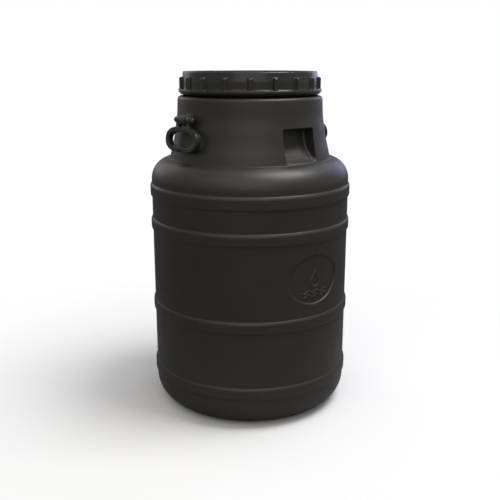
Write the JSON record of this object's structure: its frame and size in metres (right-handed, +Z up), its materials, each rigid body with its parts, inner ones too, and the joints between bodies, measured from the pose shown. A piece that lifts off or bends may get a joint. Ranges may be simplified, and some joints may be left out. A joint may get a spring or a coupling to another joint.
{
  "type": "plastic chemical drum",
  "caption": "Wide-neck plastic drum for chemicals, with a threaded screw lid, a rubber seal, swinging carry handles and moulded hand pockets.",
  "frame": {"origin": "centre of the base, on the surface the drum stands on", "axes": "+Z up along the drum's axis; the hand pockets face -Y and +Y, with the badge under the -Y one; the carry handles hang at -X (left) and +X (right)"},
  "size_m": [0.4266, 0.4266, 0.7107],
  "materials": {
    "drum_plastic": "blow-moulded polyethylene, satin black",
    "lid_plastic": "injection-moulded polyethylene, semi-gloss black",
    "handle_plastic": "injection-moulded polypropylene, semi-gloss black",
    "pin_plastic": "injection-moulded polypropylene, semi-gloss black",
    "seal_rubber": "solid rubber"
  },
  "bodies": {
    "drum": {"drum_base": "drum_plastic", "drum_wall": "drum_plastic", "drum_shoulder": "drum_plastic", "drum_pocket_foot": "drum_plastic", "drum_pocket_band": "drum_plastic", "drum_neck": "drum_plastic", "drum_collar": "drum_plastic", "left_handle_pin": "pin_plastic", "left_pin_cap": "pin_plastic", "right_handle_pin": "pin_plastic", "right_pin_cap": "pin_plastic"},
    "lid_seal": {"lid_gasket": "seal_rubber"},
    "lid": {"screw_lid": "lid_plastic"},
    "left_handle": {"left_handle": "handle_plastic"},
    "right_handle": {"right_handle": "handle_plastic"}
  },
  "joints": [
    {"name": "lid_lift", "type": "slide", "parent": "drum", "child": "lid_seal", "axis": [0, 0, 1], "range_m": [0, 0.0241]},
    {"name": "lid_turn", "type": "hinge", "parent": "lid_seal", "child": "lid", "pos_m": [0, 0, 0.68], "axis": [0, 0, 1], "range_deg": [0, 1080]},
    {"name": "left_handle_swing", "type": "hinge", "parent": "drum", "child": "left_handle", "pos_m": [-0.166, 0, 0.618], "axis": [0, 1, 0], "range_deg": [0, 170]},
    {"name": "right_handle_swing", "type": "hinge", "parent": "drum", "child": "right_handle", "pos_m": [0.166, 0, 0.618], "axis": [0, -1, 0], "range_deg": [0, 170]}
  ],
  "couplings": [
    {"joint": "lid_lift", "follows": "lid_turn", "m_per_rad": 0.0012732}
  ]
}
